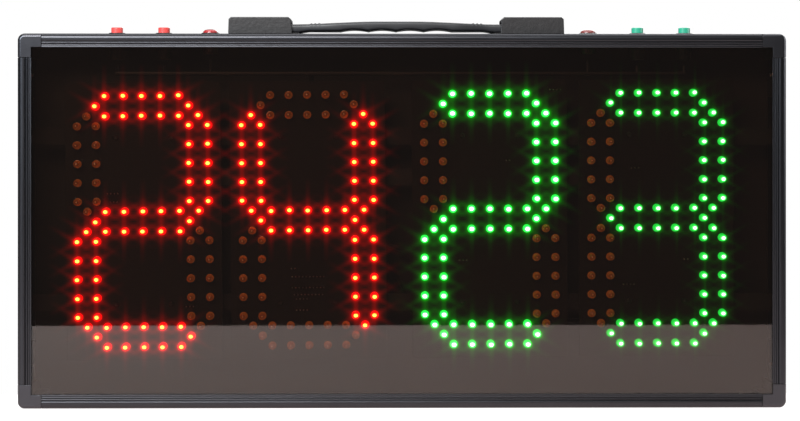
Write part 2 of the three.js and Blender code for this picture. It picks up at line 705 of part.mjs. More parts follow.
function addTallButton(parent, name, x, capMaterial) {
  const place = new THREE.Group();
  place.position.set(x, 0, HEIGHT);
  parent.add(place);

  const barrel = TALL_HOLE - CAP_PLAY;
  const bezel = TALL_HOLE + BEZEL_LIP;
  const bore = TALL_CAP + 1.5 * CAP_PLAY;
  const floor = -9;
  const housing = turned([
    [0, -TALL_DEPTH], [5, -TALL_DEPTH], [5, -12], [barrel, -12], [barrel, SEAT], [bezel, SEAT],
    [bezel, 0.6], [bezel - 1, BEZEL_TOP], [bore, BEZEL_TOP], [bore, floor], [0, floor],
  ], BUTTON_SIDES);
  add(place, `${name}_housing`, join(housing, ...terminals(TALL_DEPTH)), BLACK_PLASTIC);

  const chamfer = 0.4;
  const cap = turned([
    [0, -6.5], [TALL_CAP, -6.5], [TALL_CAP, TALL_TOP - chamfer], [TALL_CAP - chamfer, TALL_TOP],
    [0, TALL_TOP],
  ], BUTTON_SIDES);
  add(place, `${name}_cap`, cap, capMaterial);

  const nut = hexagon(0, 0, NUT_RADIUS, TALL_HOLE);
  const ring = new THREE.ExtrudeGeometry(nut, { depth: NUT_HEIGHT, bevelEnabled: false });
  add(place, `${name}_nut`, ring.translate(0, 0, -WALL - SEAT - NUT_HEIGHT), STEEL);
}

function addDomeButton(parent, name, x, capMaterial) {
  const place = new THREE.Group();
  place.position.set(x, 0, HEIGHT);
  parent.add(place);

  const neck = DOME_HOLE - 0.25;
  const snap = DOME_HOLE + GAP;
  const bezel = DOME_HOLE + BEZEL_LIP + 0.15;
  const bore = DOME_CAP + CAP_PLAY;
  const floor = -6;
  const housing = turned([
    [0, -DOME_DEPTH], [5, -DOME_DEPTH], [neck, -8], [neck, -3.4], [snap, -WALL - GAP],
    [neck, -WALL - GAP], [neck, SEAT], [bezel, SEAT], [bezel, 0.5], [bezel - 1, BEZEL_TOP],
    [bore, BEZEL_TOP], [bore, floor], [0, floor],
  ], BUTTON_SIDES);
  add(place, `${name}_housing`, join(housing, ...terminals(DOME_DEPTH)), BLACK_PLASTIC);

  const rise = DOME_CROWN - DOME_RIM;
  const radius = (DOME_CAP ** 2 + rise ** 2) / (2 * rise);
  const span = Math.asin(DOME_CAP / radius);
  const dome = arcPoints(0, DOME_CROWN - radius, radius, Math.PI / 2 - span, Math.PI / 2, 4);
  dome[4] = [0, DOME_CROWN];
  const cap = turned([[0, -4.5], [DOME_CAP, -4.5], ...dome], BUTTON_SIDES);
  add(place, `${name}_cap`, cap, capMaterial);
}

function addButtons(parent) {
  RED_X.forEach((x, index) => {
    addTallButton(parent, `red_button_${index + 1}`, x, RED_CAP);
  });
  GREEN_X.forEach((x, index) => {
    addTallButton(parent, `green_button_${index + 1}`, x, GREEN_CAP);
  });
  addDomeButton(parent, 'power_button', POWER_X, RED_CAP);
  addDomeButton(parent, 'reset_button', RESET_X, RUST_CAP);
}

// ---- Carrying strap ------------------------------------------------------------------------
// A flexible strap, divided into a grip, two links and two ends that slide in the end caps.
function gripGeometry() {
  const under = [];
  const steps = 24;
  for (let step = 0; step <= steps; step += 1) {
    const x = GRIP_SCALLOP * ((4 * step) / steps - 2);
    const hollow = Math.abs(Math.sin((Math.PI * x) / GRIP_SCALLOP));
    under.push([x, GRIP_BASE + GRIP_SCALLOP_DEPTH * hollow]);
  }
  const over = [];
  for (let step = 0; step <= 8; step += 1) {
    const x = HALF_GRIP - (2 * HALF_GRIP * step) / 8;
    over.push([x, GRIP_TOP - GRIP_CROWN * (x / HALF_GRIP) ** 2]);
  }
  const ends = [[-HALF_GRIP, GRIP_BASE], [HALF_GRIP, GRIP_BASE]];
  const outline = polygon([ends[0], ...under, ends[1], ...over]);
  const sockets = [-1, 1].map((side) => {
    return rodAlongY(LINK_BIG + GAP, -20, 20, 16, side * HALF_GRIP, GRIP_PIVOT_Z);
  });
  return cut(plate(outline, -GRIP_HALF_DEPTH, GRIP_HALF_DEPTH), ...sockets);
}

// The outline round two discs, between the grip's socket and the end's socket.
function linkGeometry() {
  const run = MOUTH_X - HALF_GRIP;
  const drop = END_PIVOT_Z - GRIP_PIVOT_Z;
  const lean = Math.atan2(drop, run);
  const splay = Math.acos((LINK_BIG - LINK_SMALL) / Math.hypot(run, drop));
  const inner = arcPoints(
    HALF_GRIP, GRIP_PIVOT_Z, LINK_BIG, lean + splay, lean - splay + 2 * Math.PI, 10,
  );
  const outer = arcPoints(MOUTH_X, END_PIVOT_Z, LINK_SMALL, lean - splay, lean + splay, 8);
  return plate(polygon([...inner, ...outer]), -LINK_HALF_DEPTH, LINK_HALF_DEPTH);
}

function endGeometry() {
  const body = box(MOUTH_X, END.tip, -END.halfDepth, END.halfDepth, END.base, END.top);
  const socket = rodAlongY(LINK_SMALL + GAP, -20, 20, 16, MOUTH_X, END_PIVOT_Z);
  const { inner, outer, half } = END_SLOT;
  const slot = box(ANCHOR_X - inner, ANCHOR_X + outer, -half, half, 0, END.top + 1);
  return cut(body, socket, slot);
}

function capGeometry() {
  const outline = polygon([
    [MOUTH_X, -3], [MOUTH_X + 0.6, 10.6], [MOUTH_X + 2.6, CAP_TOP], [CAP_END - 1.9, CAP_TOP],
    [CAP_END - 0.3, 10.6], [CAP_END, -3],
  ]);
  const shell = new THREE.ExtrudeGeometry(outline, {
    depth: 2 * (CAP_HALF_DEPTH - CAP_BEVEL),
    bevelThickness: CAP_BEVEL,
    bevelSize: CAP_BEVEL,
    bevelOffset: -CAP_BEVEL,
    bevelSegments: 1,
  });
  shell.rotateX(Math.PI / 2).translate(0, CAP_HALF_DEPTH - CAP_BEVEL, 0);
  const inside = CAP_HALF_DEPTH - CAP_WALL;
  const above = box(MOUTH_X - 5, CAP_END + 5, -20, 20, SEAT, 20);
  const cavity = box(MOUTH_X + 2, CAP_END - CAP_WALL, -inside, inside, -5, CAP_TOP - CAP_WALL);
  const mouth = box(MOUTH_X - 5, MOUTH_X + 5, -inside, inside, -5, CAP_MOUTH);
  return cut(common(shell, above), cavity, mouth);
}

function baseGeometry() {
  const from = MOUTH_X - 5;
  const pad = box(from, from + BASE.length, -BASE.halfDepth, BASE.halfDepth, SEAT, SEAT + BASE.height);
  return cut(pad, rod(ANCHOR_HOLE, -1, 3, BUTTON_SIDES).translate(ANCHOR_X, 0, 0));
}

function anchorScrewGeometry() {
  const under = SEAT + BASE.height + SEAT;
  const top = under + 2.15;
  const socket = 1.3;
  return turned([
    [0, -9], [ANCHOR_SHANK, -9], [ANCHOR_SHANK, under], [ANCHOR_HEAD, under],
    [ANCHOR_HEAD, top - 0.7], [ANCHOR_HEAD - 0.8, top], [socket, top], [socket, top - 1.4],
    [0, top - 1.4],
  ], BUTTON_SIDES).translate(ANCHOR_X, 0, 0);
}

function addHandle(parent) {
  const handle = new THREE.Group();
  handle.position.set(HANDLE_X, 0, HEIGHT);
  parent.add(handle);
  add(handle, 'handle_grip', gripGeometry(), BLACK_PLASTIC);

  const pieces = [
    ['link', linkGeometry(), BLACK_PLASTIC],
    ['end', endGeometry(), BLACK_PLASTIC],
    ['cap', capGeometry(), BLACK_PLASTIC],
    ['base', baseGeometry(), BLACK_PLASTIC],
    ['screw', anchorScrewGeometry(), STEEL],
  ];
  for (const [side, mirror] of [['left', -1], ['right', 1]]) {
    for (const [name, geometry, material] of pieces) {
      add(handle, `handle_${name}_${side}`, geometry, material).scale.x = mirror;
    }
  }
}

// ---- Assembly ------------------------------------------------------------------------------
const board = new THREE.Group();
addRails(board);
addCorners(board);
addSheets(board);
addDigits(board);
addController(board);
addBattery(board);
addChargeSocket(board);
addWiring(board);
addButtons(board);
addHandle(board);

export default board;
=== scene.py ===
"""The looks of a portable LED number board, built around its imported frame.

Metres, +Z up, the digits face -Y. Every place comes from the frame's own nodes. Dimensions of
the board's parts are in millimetres and are turned into metres with MM.
"""

import math
import random

import bmesh
import bpy
from mathutils import Matrix, Vector


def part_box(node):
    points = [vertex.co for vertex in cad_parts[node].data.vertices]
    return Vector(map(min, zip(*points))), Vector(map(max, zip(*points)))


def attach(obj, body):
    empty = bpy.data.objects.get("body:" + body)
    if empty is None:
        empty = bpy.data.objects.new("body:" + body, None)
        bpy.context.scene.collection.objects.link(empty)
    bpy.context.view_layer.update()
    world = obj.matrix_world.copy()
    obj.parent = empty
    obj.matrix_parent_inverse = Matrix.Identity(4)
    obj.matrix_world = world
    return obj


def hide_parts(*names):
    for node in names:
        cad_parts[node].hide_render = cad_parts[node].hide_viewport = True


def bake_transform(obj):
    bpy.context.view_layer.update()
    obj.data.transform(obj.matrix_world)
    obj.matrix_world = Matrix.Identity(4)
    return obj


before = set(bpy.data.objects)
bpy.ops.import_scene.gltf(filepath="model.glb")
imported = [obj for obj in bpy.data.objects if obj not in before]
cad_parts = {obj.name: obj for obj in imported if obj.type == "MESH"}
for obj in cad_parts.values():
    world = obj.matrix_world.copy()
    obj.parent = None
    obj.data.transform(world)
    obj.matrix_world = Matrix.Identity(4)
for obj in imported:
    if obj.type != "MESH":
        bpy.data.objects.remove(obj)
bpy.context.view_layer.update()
random.seed(24)

MM = 0.001
TINY = 1e-6
UP = Vector((0, 0, 1))
FRONTWARDS = Vector((0, -1, 0))

# ---- Places taken from the frame ---------------------------------------------------------
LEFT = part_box("frame_left")[0].x
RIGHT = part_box("frame_right")[1].x
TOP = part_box("frame_top")[1].z
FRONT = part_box("frame_top")[0].y
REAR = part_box("frame_top")[1].y
DEPTH = REAR - FRONT


def middle(name):
    """The middle of a CAD node's box."""
    low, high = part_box(name)
    return (low + high) / 2


HANDLE_X = middle("handle_grip").x

# ---- Rail section, in mm ------------------------------------------------------------------
WALL = 1.5
FLANGE = 10
BEAD_WIDTH = 3.6
BEAD_DEPTH = 3.2
SLOT = 3.6
RIB = 1.4
RIB_REACH = 6.5
LAND = 0.2
GROOVE = 0.66
RIDGES = ((6.62, 0.62), (8.12, 0.58))  # (middle, half width) of each ridge on the flange
SHEET = 3.0
POST_INSET = 5.0  # from the controller board's edges to the rear cover's snap posts

# ---- Corner pieces, in mm -----------------------------------------------------------------
CORNER_LEG = 17.0
CORNER_ARM = 9.7
CORNER_INSET = 0.4
CORNER_ROUND = 5.0
CORNER_BEVEL = 2.6

# ---- Digits, in mm and degrees ------------------------------------------------------------
SEGMENT_RISE = 83
BAR_PITCH = 13.3
BAR_HALF = 7.2
POST_PITCH = 13.6
POST_INNER = 33.6
POST_TIP = 34.3
LED_BODY = 2.5
LED_FLANGE = 2.9
LED_LENGTH = 8.6
LED_LEAN = 2
DIE_SCATTER = 0.12
LENS_REACH = 5.5
BOARD_THICKNESS = 1.6
POST_HOLE = 1.8
POST_HOLES = ((-20, 20), (-60, 60))
SEGMENTS_OF = {"2": "abged", "4": "fgbc", "3": "abgcd"}
SHOWN = ("2", "4", "2", "3")
BOARD_LEAN = (0.62, 0.54, 0.30, 0.17)
CHIPS = ((-10, 10, 26.5, 34.5, 4.3), (-13, 13, -24, -17, 3), (-13, 13, -44, -37, 3))
SOLDER_ROWS = (  # each board's rows of pins: (x, z, count)
    [(-26, 20, 4), (-24, 14, 3), (30, -62, 3)],
    [
        (-12, -41, 10), (-12, -48.8, 10), (-10.5, -53.9, 9),
        (-12.5, -35, 2), (-9, -57, 4), (-9, -65, 4),
    ],
    [(44, 93, 4), (-22, -30, 3), (12, 42, 2)],
    [(-18, 36, 3), (-24, -48, 4), (20, -30, 2)],
)
PIN_PITCH = 2.54
SEATED = 0.02


# ==== Shapes: each is a pair of lists, points and faces =====================================
def arc(centre_x, centre_y, radius, start, end, steps):
    """Points on a circle between two angles in degrees."""
    angles = [math.radians(start + (end - start) * i / steps) for i in range(steps + 1)]
    return [(centre_x + radius * math.cos(a), centre_y + radius * math.sin(a)) for a in angles]


def rounded(points, radius, steps=4):
    """A closed outline with every corner turned into an arc."""
    outline = []
    for i, point in enumerate(points):
        corner = Vector(point)
        back = Vector(points[i - 1]) - corner
        ahead = Vector(points[(i + 1) % len(points)]) - corner
        angle = back.angle(ahead)
        reach = min(radius / math.tan(angle / 2), 0.45 * back.length, 0.45 * ahead.length)
        size = reach * math.tan(angle / 2)
        back.normalize()
        ahead.normalize()
        centre = corner + (back + ahead).normalized() * (size / math.sin(angle / 2))
        first = corner + back * reach - centre
        last = corner + ahead * reach - centre
        turn = math.pi - angle
        for k in range(steps + 1):
            share = k / steps
            away = math.sin((1 - share) * turn) * first + math.sin(share * turn) * last
            outline.append(tuple(centre + away / math.sin(turn)))
    return outline


def in_metres(points):
    """Pairs in millimetres as pairs in metres."""
    return [(a * MM, b * MM) for a, b in points]


def turned(profile, sides=40):
    """A solid of revolution about Z from (radius, z) points in mm that run anticlockwise."""
    closed = profile[0][0] > 0 or profile[-1][0] > 0
    points, rings = [], []
    for radius, z in profile:
        if radius < TINY:
            rings.append([len(points)] * sides)
            points.append((0, 0, z * MM))
            continue
        rings.append(list(range(len(points), len(points) + sides)))
        for i in range(sides):
            angle = 2 * math.pi * i / sides
            points.append((radius * MM * math.cos(angle), radius * MM * math.sin(angle), z * MM))
    faces = []
    following = rings[1:] + rings[:1] if closed else rings[1:]
    for low, high in zip(rings, following):
        for i in range(sides):
            j = (i + 1) % sides
            face = []
            for corner in (low[i], low[j], high[j], high[i]):
                if corner not in face:
                    face.append(corner)
            if len(face) > 2:
                faces.append(face)
    return points, faces


def prism(outline, low, high):
    """An outline in X and Y, in metres, extruded along Z."""
    count = len(outline)
    points = [(x, y, low) for x, y in outline] + [(x, y, high) for x, y in outline]
    faces = [list(reversed(range(count))), list(range(count, 2 * count))]
    for i in range(count):
        j = (i + 1) % count
        faces.append([i, j, count + j, count + i])
    return points, faces


def block(low, high):
    """A box between two corners, in metres."""
    outline = [(low[0], low[1]), (high[0], low[1]), (high[0], high[1]), (low[0], high[1])]
    return prism(outline, low[2], high[2])


def placed(shape, matrix):
    return [tuple(matrix @ Vector(p)) for p in shape[0]], shape[1]


def at(shape, x, y, z):
    return placed(shape, Matrix.Translation((x, y, z)))


def upright(shape, y):
    """Turns a shape that was extruded along Z so that its outline stands in X and Z."""
    return placed(shape, Matrix.Translation((0, y, 0)) @ Matrix.Rotation(math.pi / 2, 4, "X"))


def together(*shapes):
    """Several shapes as one pair of lists."""
    points, faces = [], []
    for some_points, some_faces in shapes:
        first = len(points)
        points.extend(some_points)
        faces.extend([first + i for i in face] for face in some_faces)
    return points, faces


def pointing(place, direction):
    """The matrix that turns Z to a direction and moves the origin to a place."""
    turn = UP.rotation_difference(Vector(direction)).to_matrix().to_4x4()
    return Matrix.Translation(place) @ turn


def softened(shape, radius, steps=3, angle=40, keep=None):
    """The same solid with its sharp edges rounded by a radius in mm."""
    mesh = bmesh.new()
    corners = [mesh.verts.new(p) for p in shape[0]]
    for face in shape[1]:
        mesh.faces.new([corners[i] for i in face])
    bmesh.ops.recalc_face_normals(mesh, faces=mesh.faces)
    edges = []
    for edge in mesh.edges:
        if len(edge.link_faces) == 2 and edge.calc_face_angle() > math.radians(angle):
            if keep is None or keep(edge):
                edges.append(edge)
    bmesh.ops.bevel(
        mesh, geom=edges, offset=radius * MM, segments=steps, profile=0.5, affect="EDGES",
        clamp_overlap=True,
    )
    mesh.verts.index_update()
    points = [tuple(v.co) for v in mesh.verts]
    faces = [[v.index for v in face.verts] for face in mesh.faces]
    mesh.free()
    return points, faces


def loose_object(shape):
    mesh = bpy.data.meshes.new("loose")
    mesh.from_pydata(shape[0], [], shape[1])
    obj = bpy.data.objects.new("loose", mesh)
    bpy.context.scene.collection.objects.link(obj)
    return obj


def carved(shape, *tools, operation="DIFFERENCE"):
    """The solid after the tools are cut from it, joined to it or intersected with it."""
    target = loose_object(shape)
    cutters = [loose_object(tool) for tool in tools]
    for cutter in cutters:
        modifier = target.modifiers.new("carve", "BOOLEAN")
        modifier.operation = operation
        modifier.solver = "EXACT"
        modifier.object = cutter
    depsgraph = bpy.context.evaluated_depsgraph_get()
    mesh = bpy.data.meshes.new_from_object(target.evaluated_get(depsgraph))
    points = [tuple(v.co) for v in mesh.vertices]
    faces = [list(face.vertices) for face in mesh.polygons]
    for obj in [target, *cutters]:
        old = obj.data
        bpy.data.objects.remove(obj)
        bpy.data.meshes.remove(old)
    bpy.data.meshes.remove(mesh)
    return points, faces


def weighted(mesh):
    """The mesh with normals that follow its large faces, so that flat faces stay flat."""
    obj = bpy.data.objects.new("loose", mesh)
    bpy.context.scene.collection.objects.link(obj)
    modifier = obj.modifiers.new("weight", "WEIGHTED_NORMAL")
    modifier.keep_sharp = True
    depsgraph = bpy.context.evaluated_depsgraph_get()
    result = bpy.data.meshes.new_from_object(
        obj.evaluated_get(depsgraph), preserve_all_data_layers=True, depsgraph=depsgraph,
    )
    bpy.data.objects.remove(obj)
    bpy.data.meshes.remove(mesh)
    return result


def make(name, shape, material, body="root", replaces=(), sharp=35):
    """A named piece from a shape, smooth except at its sharp edges, riding on a body."""
    mesh = bpy.data.meshes.new(name)
    mesh.from_pydata(shape[0], [], shape[1])
    mesh.materials.append(material)
    tidy = bmesh.new()
    tidy.from_mesh(mesh)
    bmesh.ops.recalc_face_normals(tidy, faces=tidy.faces)
    tidy.to_mesh(mesh)
    tidy.free()
    mesh.shade_smooth()
    mesh.set_sharp_from_angle(angle=math.radians(sharp))
    if body is not None:
        mesh = weighted(mesh)
        mesh.name = name
    piece = bpy.data.objects.new(name, mesh)
    bpy.context.scene.collection.objects.link(piece)
    if body is not None:
        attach(piece, body)
    if replaces:
        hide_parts(*replaces)
    return piece


# ==== Materials =============================================================================
ACRYLIC_INDEX = 1.52
LIT_STOPS = (0.0, 0.3, 0.48, 0.66)  # places between the lens's rim and the die's image


def node(tree, kind, inputs=None, **settings):
    """A shader node with its settings and its inputs, which are values or other sockets."""
    made = tree.nodes.new(kind)
    for name, value in settings.items():
        setattr(made, name, value)
    for name, value in (inputs or {}).items():
        if isinstance(value, bpy.types.NodeSocket):
            tree.links.new(value, made.inputs[name])
        else:
            made.inputs[name].default_value = value
    return made


def blank(name):
    material = bpy.data.materials.new(name)
    material.use_nodes = True
    tree = material.node_tree
    tree.nodes.clear()
    return material, tree, tree.nodes.new("ShaderNodeOutputMaterial")


def rgb(red, green, blue):
    return (red, green, blue, 1.0)


def place_noise(tree, scale, detail=3, stretch=(1, 1, 1), rough=0.5):
    """Noise in the object's own metres; a stretch below 1 draws it out along that axis."""
    where = node(tree, "ShaderNodeTexCoord").outputs["Object"]
    drawn = node(tree, "ShaderNodeMapping", {"Vector": where, "Scale": stretch}).outputs[0]
    inputs = {"Vector": drawn, "Scale": scale, "Detail": detail, "Roughness": rough}
    return node(tree, "ShaderNodeTexNoise", inputs).outputs[0]


def mixed(tree, factor, first, second, blend="MIX"):
    """One colour blended over another; each is a value or a socket."""
    inputs = {0: factor, 6: first, 7: second}
    return node(tree, "ShaderNodeMix", inputs, data_type="RGBA", blend_type=blend).outputs[2]


def mapped(tree, value, low, high, start=0.0, end=1.0):
    """A value taken from the range start to end into the range low to high."""
    inputs = {"Value": value, "From Min": start, "From Max": end, "To Min": low, "To Max": high}
    return node(tree, "ShaderNodeMapRange", inputs).outputs[0]


def shaded(tree, out, inputs):
    """Joins a Principled shader with these inputs to the material's output."""
    shader = node(tree, "ShaderNodeBsdfPrincipled", inputs)
    tree.links.new(shader.outputs[0], out.inputs[0])


def stepped(tree, factor, places, colours):
    """A colour ramp with a stop at each place."""
    made = node(tree, "ShaderNodeValToRGB", {"Fac": factor})
    elements = made.color_ramp.elements
    while len(elements) < len(places):
        elements.new(0.5)
    for element, place, colour in zip(elements, places, colours):
        element.position = place
        element.color = rgb(*colour)
    return made.outputs[0]


def bump(tree, height, strength, distance_mm):
    inputs = {"Height": height, "Strength": strength, "Distance": distance_mm * MM}
    return node(tree, "ShaderNodeBump", inputs).outputs[0]


def anodised(name, stretch):
    """Anodised extrusion: faint die lines along its length, cloudy tone and worn edges."""
    material, tree, out = blank(name)
    lines = place_noise(tree, 1800, 2, stretch)
    cloud = place_noise(tree, 26, 4)
    edge = node(tree, "ShaderNodeNewGeometry").outputs["Pointiness"]
    worn = mapped(tree, edge, 0.0, 0.35, 0.52, 0.60)
    tone = mixed(tree, cloud, rgb(0.022, 0.023, 0.026), rgb(0.032, 0.033, 0.037))
    shaded(tree, out, {
        "Base Color": mixed(tree, worn, tone, rgb(0.10, 0.10, 0.11)),
        "Metallic": 1.0,
        "Roughness": mapped(tree, lines, 0.26, 0.42),
        "Normal": bump(tree, lines, 0.25, 0.03),
    })
    return material


def cast_metal(name):
    """Silver-coated die casting: fine speckle with slightly uneven gloss."""
    material, tree, out = blank(name)
    speckle = place_noise(tree, 1400)
    cloud = place_noise(tree, 60)
    shaded(tree, out, {
        "Base Color": mixed(tree, cloud, rgb(0.052, 0.052, 0.058), rgb(0.075, 0.075, 0.084)),
        "Metallic": 0.9,
        "Roughness": mapped(tree, cloud, 0.28, 0.38),
        "Normal": bump(tree, speckle, 0.3, 0.04),
    })
    return material


def moulded(
    name, colour, roughness, grain=900, depth=0.05, strength=0.4, spread=0.25, coat=0.0,
    metallic=0.0,
):
    """Moulded plastic: spark-eroded grain, slight tone and gloss changes."""
    material, tree, out = blank(name)
    fine = place_noise(tree, grain, 2)
    cloud = place_noise(tree, 45)
    low = rgb(*[c * (1 - spread) for c in colour])
    high = rgb(*[min(1, c * (1 + spread)) for c in colour])
    shaded(tree, out, {
        "Base Color": mixed(tree, cloud, low, high),
        "Metallic": metallic,
        "Roughness": mapped(tree, fine, roughness - 0.06, roughness + 0.08),
        "Normal": bump(tree, fine, strength, depth),
        "Coat Weight": coat,
        "Coat Roughness": 0.08,
    })
    return material


def zinc_plate():
    """Zinc-plated steel: fine crystals that differ in tone and gloss."""
    material, tree, out = blank("zinc_plate")
    fine = place_noise(tree, 700, 4)
    shaded(tree, out, {
        "Base Color": mixed(tree, fine, rgb(0.46, 0.46, 0.47), rgb(0.66, 0.66, 0.67)),
        "Metallic": 1.0,
        "Roughness": mapped(tree, fine, 0.22, 0.4),
    })
    return material


def tinted_window():
    """Smoke-tinted acrylic: what is behind shows through, and both faces mirror a little. Light
    going in sees a darker tint than the camera does, which is painted shade inside the case.
    """
    material, tree, out = blank("tinted_acrylic")
    specks = mapped(tree, place_noise(tree, 420, 5, rough=0.7), 0.0024, 0.026, 0.76, 0.84)
    straight = node(tree, "ShaderNodeLightPath").outputs["Is Camera Ray"]
    # Rays other than the camera's pass the darker tint, so less light reaches the boards behind:
    # painted shade inside the window.
    tint = mixed(tree, straight, rgb(0.48, 0.38, 0.32), rgb(0.74, 0.645, 0.58))
    through = node(tree, "ShaderNodeBsdfTransparent", {"Color": tint}).outputs[0]
    gloss = {"Color": rgb(1, 1, 1), "Roughness": 0.02}
    mirror = node(tree, "ShaderNodeBsdfGlossy", gloss).outputs[0]
    # On a back face the Fresnel node turns its index over, so the index is turned over first.
    inside = node(tree, "ShaderNodeNewGeometry").outputs["Backfacing"]
    index = mapped(tree, inside, ACRYLIC_INDEX, 1 / ACRYLIC_INDEX)
    facing = node(tree, "ShaderNodeFresnel", {"IOR": index}).outputs[0]
    clear = node(tree, "ShaderNodeMixShader", {0: facing, 1: through, 2: mirror}).outputs[0]
    lint = node(tree, "ShaderNodeBsdfDiffuse", {"Color": rgb(0.55, 0.36, 0.29)}).outputs[0]
    dusty = node(tree, "ShaderNodeMixShader", {0: specks, 1: clear, 2: lint}).outputs[0]
    tree.links.new(dusty, out.inputs[0])
    return material


def solder_mask():
    """Black circuit board: glossy lacquer with faint raised tracks under it."""
    material, tree, out = blank("solder_mask")
    where = node(tree, "ShaderNodeTexCoord").outputs["Object"]
    turn = node(tree, "ShaderNodeMapping", {"Vector": where, "Rotation": (math.pi / 2, 0, 0)})
    tracks = node(tree, "ShaderNodeTexBrick", {
        "Vector": turn.outputs[0], "Scale": 95.0, "Color1": rgb(0, 0, 0), "Color2": rgb(1, 1, 1),
        "Mortar": rgb(0.5, 0.5, 0.5), "Mortar Size": 0.035, "Mortar Smooth": 0.4,
    })
    cloud = place_noise(tree, 30)
    shaded(tree, out, {
        "Base Color": mixed(tree, cloud, rgb(0.005, 0.0035, 0.003), rgb(0.008, 0.0055, 0.0045)),
        "Roughness": 0.5,
        "Specular IOR Level": 0.25,
        "Normal": bump(tree, tracks.outputs[1], 0.35, 0.04),
    })
    return material


def led_lens(name, colours, strengths, body):
    """A lit lens: the glow runs from the die's image in the middle to the coloured rim."""
    material, tree, out = blank(name)
    glow = node(tree, "ShaderNodeAttribute", None, attribute_name="glow").outputs["Fac"]
    peak = max(strengths)
    power = stepped(tree, glow, LIT_STOPS, [(s / peak,) * 3 for s in strengths])
    strength = node(tree, "ShaderNodeMath", {0: power, 1: peak}, operation="MULTIPLY")
    shaded(tree, out, {
        "Base Color": rgb(*body),
        "Roughness": 0.18,
        "Emission Color": stepped(tree, glow, LIT_STOPS, colours),
        "Emission Strength": strength.outputs[0],
    })
    return material


def unlit_lens():
    """An unlit LED: orange-brown epoxy that darkens towards the middle, with a bright dot at the
    die that is a painted glint, and a faint painted glow all over though it is not lit.
    """
    material, tree, out = blank("led_unlit")
    glow = node(tree, "ShaderNodeAttribute", None, attribute_name="glow").outputs["Fac"]
    # The ramp's last stop is a painted glint on the die; the stops before it make the lens darker
    # towards the middle.
    epoxy = stepped(tree, glow, [0.0, 0.25, 0.5, 0.76, 0.88], [
        (0.38, 0.12, 0.018), (0.32, 0.092, 0.014), (0.24, 0.062, 0.009), (0.09, 0.024, 0.005),
        (0.8, 0.36, 0.13),
    ])
    tint = mixed(tree, place_noise(tree, 60, 2), rgb(0.8, 0.7, 0.7), rgb(1, 1, 1))
    colour = mixed(tree, 1.0, epoxy, tint, "MULTIPLY")
    shaded(tree, out, {
        "Base Color": colour,
        "Roughness": 0.12,
        # A faint emission over the whole lens: painted glow on an LED that is off.
        "Emission Color": colour,
        "Emission Strength": 0.3,
    })
    return material


RAIL_ALONG_X = anodised("anodised_along_x", (0.012, 1, 1))
RAIL_ALONG_Z = anodised("anodised_along_z", (1, 1, 0.012))
DARK_RAIL = moulded("black_anodised", (0.004, 0.0035, 0.0035), 0.75)
CORNER_METAL = cast_metal("corner_metal")
ZINC = zinc_plate()
WINDOW = tinted_window()
REAR_SHEET = moulded("rear_sheet", (0.009, 0.008, 0.008), 0.55, grain=420, depth=0.12, strength=0.5)
MASK = solder_mask()
CHIP = moulded("chip_epoxy", (0.02, 0.02, 0.021), 0.55, grain=1500)
TIN = moulded("tin", (0.5, 0.48, 0.44), 0.35, grain=1500, metallic=1.0)
BLACK_PLASTIC = moulded(
    "black_nylon", (0.018, 0.0165, 0.0168), 0.42, grain=420, depth=0.16, strength=0.8,
)
STRAP = moulded("strap_rubber", (0.02, 0.02, 0.022), 0.4, grain=800, depth=0.05, strength=0.3)
BEZEL = moulded("bezel_black", (0.006, 0.006, 0.007), 0.5, grain=900, depth=0.03, strength=0.2)
KEY = {"grain": 1100, "spread": 0.08}
RED = moulded("red_cap", (0.80, 0.085, 0.075), 0.34, depth=0.02, coat=0.25, **KEY)
GREEN = moulded("green_cap", (0.04, 0.42, 0.26), 0.34, depth=0.02, coat=0.25, **KEY)
DOME_RED = moulded("dome_red", (0.36, 0.02, 0.022), 0.2, depth=0.01, coat=0.5, **KEY)
RUST = moulded("rust_cap", (0.20, 0.045, 0.04), 0.3, grain=1100, depth=0.02, spread=0.1, coat=0.4)
CELL = moulded("shrink_film", (0.03, 0.11, 0.30), 0.3, grain=120, depth=0.2, strength=0.3, coat=0.3)
WIRE = moulded("wire_insulation", (0.008, 0.008, 0.009), 0.5, grain=600)
LIT_RED = led_lens(
    "led_red", [(1.0, 0.0, 0.0), (1.0, 0.012, 0.010), (1.0, 0.10, 0.01), (1.0, 0.42, 0.045)],
    [2.0, 4.0, 8.0, 18.0], (0.3, 0.01, 0.01),
)
LIT_GREEN = led_lens(
    "led_green", [(0.01, 1.0, 0.10), (0.05, 1.0, 0.18), (0.2, 1.0, 0.4), (0.55, 1.0, 0.72)],
    [2.0, 5.0, 9.0, 15.0], (0.04, 0.4, 0.1),
)
SIDE_GREEN = led_lens(
    "led_green_side", [(0.01, 1.0, 0.10), (0.04, 1.0, 0.16), (0.12, 1.0, 0.3), (0.5, 1.0, 0.68)],
    [1.1, 1.8, 3.6, 12.0], (0.04, 0.4, 0.1),
)
UNLIT = unlit_lens()


# ==== Rails, corners, window and rear cover ==================================================
def rail_section():
    """(inward, back) points in mm: a bead, two ridges, then the slots for the sheets."""
    front = [(0, 8), (0, 5), (0, 3.4)]
    for i in range(1, 15):
        angle = math.radians(90 * i / 14)
        front.append((BEAD_WIDTH * (1 - math.cos(angle)), BEAD_DEPTH * (1 - math.sin(angle))))
    front += [(4.3, 0.02), *arc(4.45, 0.95, 0.93, -90, -15, 6), (5.6, 0.8)]
    for ridge, half in RIDGES:
        front.append((ridge - half - 0.04, GROOVE))
        front += arc(ridge, LAND + half, half, -155, -25, 7)
        front.append((ridge + half + 0.04, GROOVE))
    front += [(9.0, 0.6), *arc(FLANGE - 0.45, LAND + 0.75, 0.45, -90, 0, 4)]
    rib = WALL + SLOT
    front += [(FLANGE, WALL), (WALL, WALL), (WALL, rib), (RIB_REACH, rib)]
    front += [(RIB_REACH, rib + RIB), (WALL, rib + RIB)]
    depth = DEPTH / MM
    rear = [(inward, depth - back) for inward, back in reversed(front)]
    return in_metres(front + rear)


